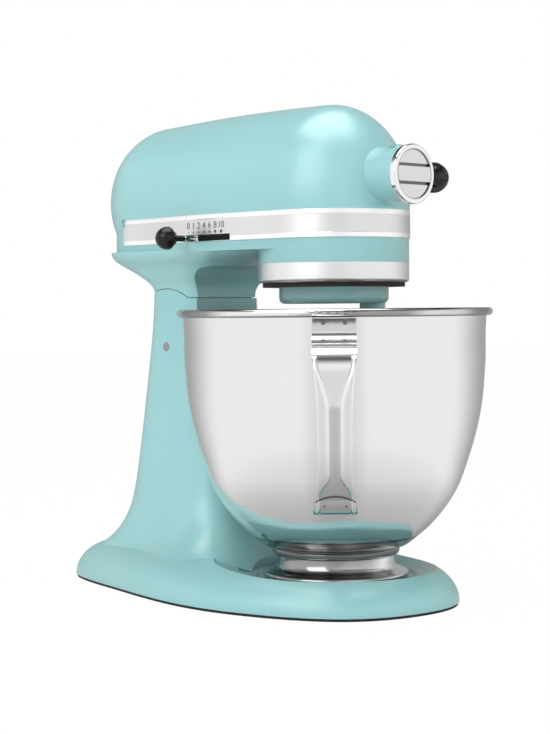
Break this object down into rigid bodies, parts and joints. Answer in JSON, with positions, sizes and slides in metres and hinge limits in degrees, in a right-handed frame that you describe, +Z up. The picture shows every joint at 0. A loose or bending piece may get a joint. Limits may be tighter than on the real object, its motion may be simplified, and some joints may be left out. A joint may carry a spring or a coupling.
{
  "type": "stand mixer",
  "caption": "Tilt-head stand mixer: cast base and column, hinged motor head with planetary drive and front attachment hub, and a steel bowl with a strap handle.",
  "frame": {"origin": "on the table, under the bowl axis", "axes": "+Z up, -Y to the front where the attachment hub is, +X to the lock lever's side"},
  "size_m": [0.222, 0.3584, 0.3497],
  "materials": {
    "enamel": "gloss enamel",
    "bowl_steel": "polished",
    "trim_steel": "satin",
    "chrome": "polished",
    "black_knob": "gloss",
    "rubber": "matte",
    "gear_steel": "machined",
    "pressed_steel": "zinc plated",
    "bronze": "sintered",
    "copper": "enamelled wire",
    "moulding": "moulded",
    "carbon": "carbon"
  },
  "bodies": {
    "base": {"base": "enamel", "pedestal": "enamel", "base_gasket": "rubber", "base_plate": "pressed_steel", "rubber_feet": "rubber", "pedestal_bolts": "gear_steel", "bowl_plate": "pressed_steel", "plate_screws": "gear_steel", "hinge_pin": "chrome", "hinge_set_screw": "gear_steel"},
    "head": {"upper_housing": "enamel", "lower_housing": "enamel", "rear_cover": "enamel", "rear_cover_screw": "gear_steel", "housing_screws": "gear_steel", "trim_band": "trim_steel", "nose_ring": "trim_steel", "nose_seal": "rubber", "ring_gear": "gear_steel", "centre_bearing": "bronze", "counter_bearings": "bronze", "gear_bracket": "pressed_steel", "motor_bearings": "bronze", "motor_stator": "gear_steel", "field_windings": "copper", "brush_plate": "moulding", "brush_holders": "moulding", "carbon_brushes": "carbon", "speed_plate": "pressed_steel", "lock_guide": "pressed_steel", "hub_cover_pin": "chrome"},
    "planetary": {"planetary_housing": "enamel", "centre_shaft": "gear_steel", "centre_gear": "gear_steel", "centre_bevel_gear": "gear_steel"},
    "beater_drive": {"beater_shaft": "gear_steel", "beater_pin": "gear_steel", "beater_pinion": "gear_steel"},
    "countershaft": {"counter_shaft": "gear_steel", "worm_wheel": "bronze", "counter_pinion": "gear_steel"},
    "armature": {"armature_shaft": "gear_steel", "worm": "gear_steel", "rotor_core": "gear_steel", "commutator": "copper", "cooling_fan": "moulding"},
    "hub_drive": {"hub_drive_socket": "gear_steel", "hub_bevel_gear": "gear_steel"},
    "speed_control": {"speed_lever": "chrome", "speed_knob": "black_knob"},
    "lock_control": {"lock_lever": "chrome", "lock_knob": "black_knob"},
    "hub_lid": {"hub_cover": "chrome"},
    "hub_screw": {"hub_knob": "black_knob", "hub_stud": "gear_steel"},
    "bowl": {"bowl_shell": "bowl_steel", "bowl_foot": "bowl_steel", "bowl_handle": "bowl_steel"}
  },
  "joints": [
    {"name": "head_tilt", "type": "hinge", "parent": "base", "child": "head", "pos_m": [0, 0.142, 0.1795], "axis": [-1, 0, 0], "range_deg": [0, 50]},
    {"name": "bowl_twist", "type": "hinge", "parent": "base", "child": "bowl", "pos_m": [0, 0, 0.03], "axis": [0, 0, 1], "range_deg": [0, 32]},
    {"name": "planetary_spin", "type": "hinge", "parent": "head", "child": "planetary", "pos_m": [0, 0, 0.22], "axis": [0, 0, 1], "continuous": true},
    {"name": "beater_spin", "type": "hinge", "parent": "planetary", "child": "beater_drive", "pos_m": [0.01909, -0.01909, 0.2], "axis": [0, 0, 1], "continuous": true},
    {"name": "countershaft_spin", "type": "hinge", "parent": "head", "child": "countershaft", "pos_m": [0.022, 0.03037, 0.28], "axis": [0, 0, 1], "continuous": true},
    {"name": "armature_spin", "type": "hinge", "parent": "head", "child": "armature", "pos_m": [0, 0.125, 0.297], "axis": [0, 1, 0], "continuous": true},
    {"name": "hub_spin", "type": "hinge", "parent": "head", "child": "hub_drive", "pos_m": [0, -0.03, 0.297], "axis": [0, 1, 0], "continuous": true},
    {"name": "speed_slide", "type": "slide", "parent": "head", "child": "speed_control", "axis": [0, -1, 0], "range_m": [0, 0.044]},
    {"name": "lock_slide", "type": "slide", "parent": "head", "child": "lock_control", "axis": [0, 1, 0], "range_m": [0, 0.02]},
    {"name": "hub_lid_flip", "type": "hinge", "parent": "head", "child": "hub_lid", "pos_m": [0, -0.069, 0.3144], "axis": [-1, 0, 0], "range_deg": [0, 100]},
    {"name": "hub_screw_turn", "type": "hinge", "parent": "head", "child": "hub_screw", "pos_m": [0.03, -0.06, 0.297], "axis": [1, 0, 0], "range_deg": [0, 360]}
  ],
  "couplings": [
    {"joint": "beater_spin", "follows": "planetary_spin", "ratio": -4},
    {"joint": "countershaft_spin", "follows": "planetary_spin", "ratio": -2.5714},
    {"joint": "armature_spin", "follows": "planetary_spin", "ratio": 25.714},
    {"joint": "hub_spin", "follows": "planetary_spin", "ratio": -1}
  ]
}
